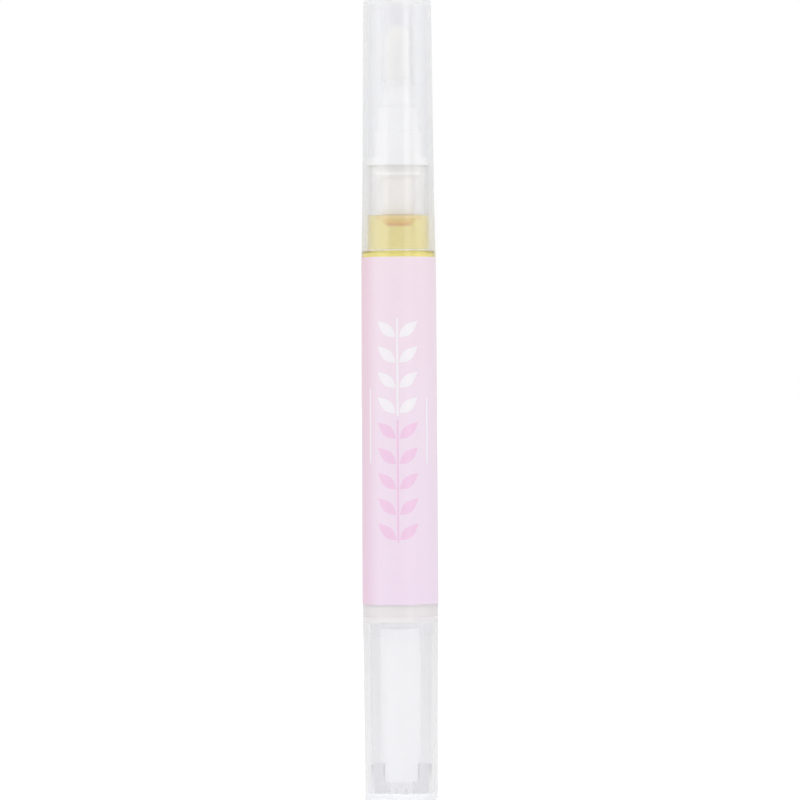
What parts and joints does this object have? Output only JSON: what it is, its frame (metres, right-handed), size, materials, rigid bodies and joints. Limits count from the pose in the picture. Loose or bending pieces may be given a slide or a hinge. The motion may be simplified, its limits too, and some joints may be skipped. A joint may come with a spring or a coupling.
{
  "type": "nail oil pen",
  "caption": "Twist-up nail oil pen: capped brush, clear oil barrel, and a turning knob that feeds a screw-driven piston with clicks.",
  "frame": {"origin": "centre of the knob's flat end, which the pen stands on", "axes": "+Z along the pen's axis, from the knob to the cap"},
  "size_m": [0.0126, 0.0126, 0.13],
  "materials": {
    "cap_plastic": "frosted translucent polypropylene",
    "bristle": "fine nylon strands",
    "tube_plastic": "smooth natural polyethylene",
    "nozzle_plastic": "milky white polypropylene",
    "barrel_plastic": "clear polypropylene",
    "label_film": "satin printed film",
    "oil": "clear golden oil",
    "piston_plastic": "soft white polyethylene",
    "rod_plastic": "white acetal",
    "nut_plastic": "natural acetal",
    "ring_plastic": "natural acetal",
    "sleeve_plastic": "white acetal",
    "knob_plastic": "frosted translucent polypropylene"
  },
  "bodies": {
    "barrel": {"barrel": "barrel_plastic", "label_sleeve": "label_film", "nozzle": "nozzle_plastic", "brush": "bristle", "feed_tube": "tube_plastic", "thread_nut": "nut_plastic", "oil_fill": "oil"},
    "cap": {"cap": "cap_plastic"},
    "knob": {"knob": "knob_plastic", "drive_sleeve": "sleeve_plastic", "click_ring": "ring_plastic"},
    "rod": {"screw_rod": "rod_plastic"},
    "piston": {"piston": "piston_plastic"}
  },
  "joints": [
    {"name": "cap_pull", "type": "slide", "parent": "barrel", "child": "cap", "axis": [0, 0, 1], "range_m": [0, 0.045]},
    {"name": "knob_twist", "type": "hinge", "parent": "barrel", "child": "knob", "pos_m": [0, 0, 0.015], "axis": [0, 0, 1], "range_deg": [0, 7200], "deforming": ["click_ring"]},
    {"name": "rod_feed", "type": "slide", "parent": "knob", "child": "rod", "axis": [0, 0, 1], "range_m": [0, 0.032]},
    {"name": "piston_travel", "type": "slide", "parent": "barrel", "child": "piston", "axis": [0, 0, 1], "range_m": [0, 0.032], "deforming": ["oil_fill"]}
  ],
  "couplings": [
    {"joint": "rod_feed", "follows": "knob_twist", "m_per_rad": 0.00025465},
    {"joint": "piston_travel", "follows": "knob_twist", "m_per_rad": 0.00025465}
  ]
}
